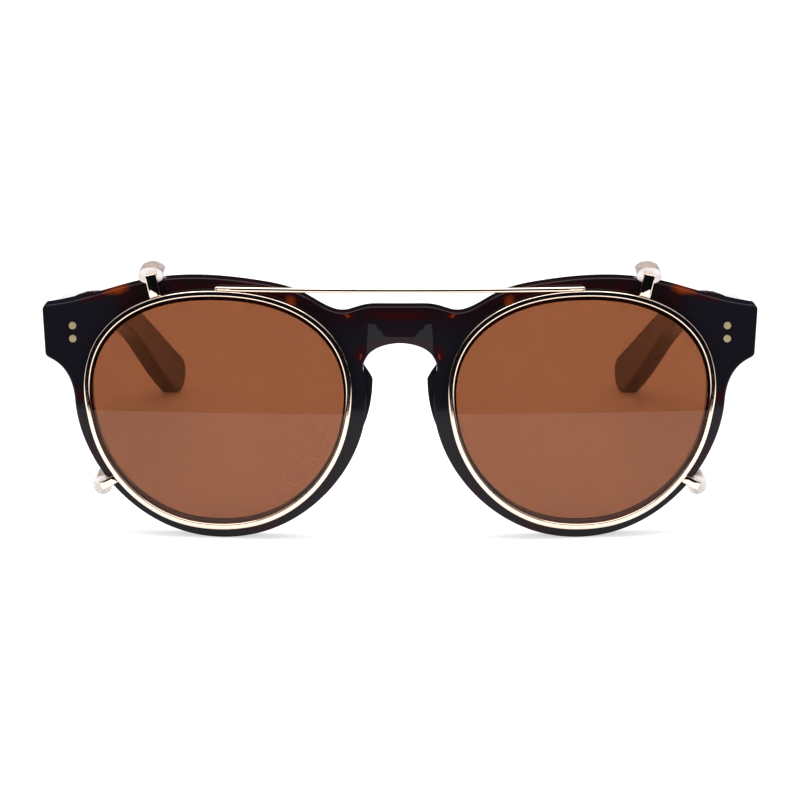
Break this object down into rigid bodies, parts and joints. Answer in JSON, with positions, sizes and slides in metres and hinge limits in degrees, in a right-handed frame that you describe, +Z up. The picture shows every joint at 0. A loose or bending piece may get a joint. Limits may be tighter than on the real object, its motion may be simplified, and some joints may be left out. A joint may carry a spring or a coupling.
{
  "type": "clip on sunglasses",
  "caption": "Round acetate spectacle frame with keyhole bridge and folding temples, worn with a removable wire clip-on that carries brown sun lenses.",
  "frame": {"origin": "centre of the footprint, on the table that the rims and temple tips stand on", "axes": "+X across the face to the side named right, +Y from the front towards the ears, +Z up"},
  "size_m": [0.1454, 0.1518, 0.0557],
  "materials": {
    "havana_acetate": "polished",
    "gold_wire": "polished",
    "gold_rivet": "polished",
    "hinge_steel": "satin",
    "brown_lens": "polished",
    "clear_lens": "polished",
    "clear_silicone": "satin"
  },
  "bodies": {
    "front": {"acetate_front": "havana_acetate", "demo_lens_left": "clear_lens", "demo_lens_right": "clear_lens", "nose_pad_left": "havana_acetate", "nose_pad_right": "havana_acetate", "hinge_front_leaf_left": "hinge_steel", "hinge_front_leaf_right": "hinge_steel", "hinge_screw_left": "hinge_steel", "hinge_screw_right": "hinge_steel", "end_rivets_left": "gold_rivet", "end_rivets_right": "gold_rivet"},
    "left_temple": {"temple_left": "havana_acetate", "temple_rivets_left": "hinge_steel", "core_wire_left": "hinge_steel", "hinge_temple_leaf_left": "hinge_steel"},
    "right_temple": {"temple_right": "havana_acetate", "temple_rivets_right": "hinge_steel", "core_wire_right": "hinge_steel", "hinge_temple_leaf_right": "hinge_steel"},
    "clip": {"brow_bar": "gold_wire", "clip_rim_left": "gold_wire", "clip_rim_right": "gold_wire", "clip_lens_left": "brown_lens", "clip_lens_right": "brown_lens", "upper_claw_left": "gold_wire", "upper_claw_right": "gold_wire", "lower_claw_left": "gold_wire", "lower_claw_right": "gold_wire", "upper_sleeve_left": "clear_silicone", "upper_sleeve_right": "clear_silicone", "lower_sleeve_left": "clear_silicone", "lower_sleeve_right": "clear_silicone"}
  },
  "joints": [
    {"name": "left_temple_fold", "type": "hinge", "parent": "front", "child": "left_temple", "pos_m": [-0.06545, -0.05898, 0.04175], "axis": [0, 0, -1], "range_deg": [0, 84]},
    {"name": "right_temple_fold", "type": "hinge", "parent": "front", "child": "right_temple", "pos_m": [0.06545, -0.05898, 0.04175], "axis": [0, 0, 1], "range_deg": [0, 77]},
    {"name": "clip_slide", "type": "slide", "parent": "front", "child": "clip", "axis": [0, -1, 0], "range_m": [0, 0.025], "deforming": ["upper_sleeve_left", "upper_sleeve_right", "lower_sleeve_left", "lower_sleeve_right"]}
  ]
}
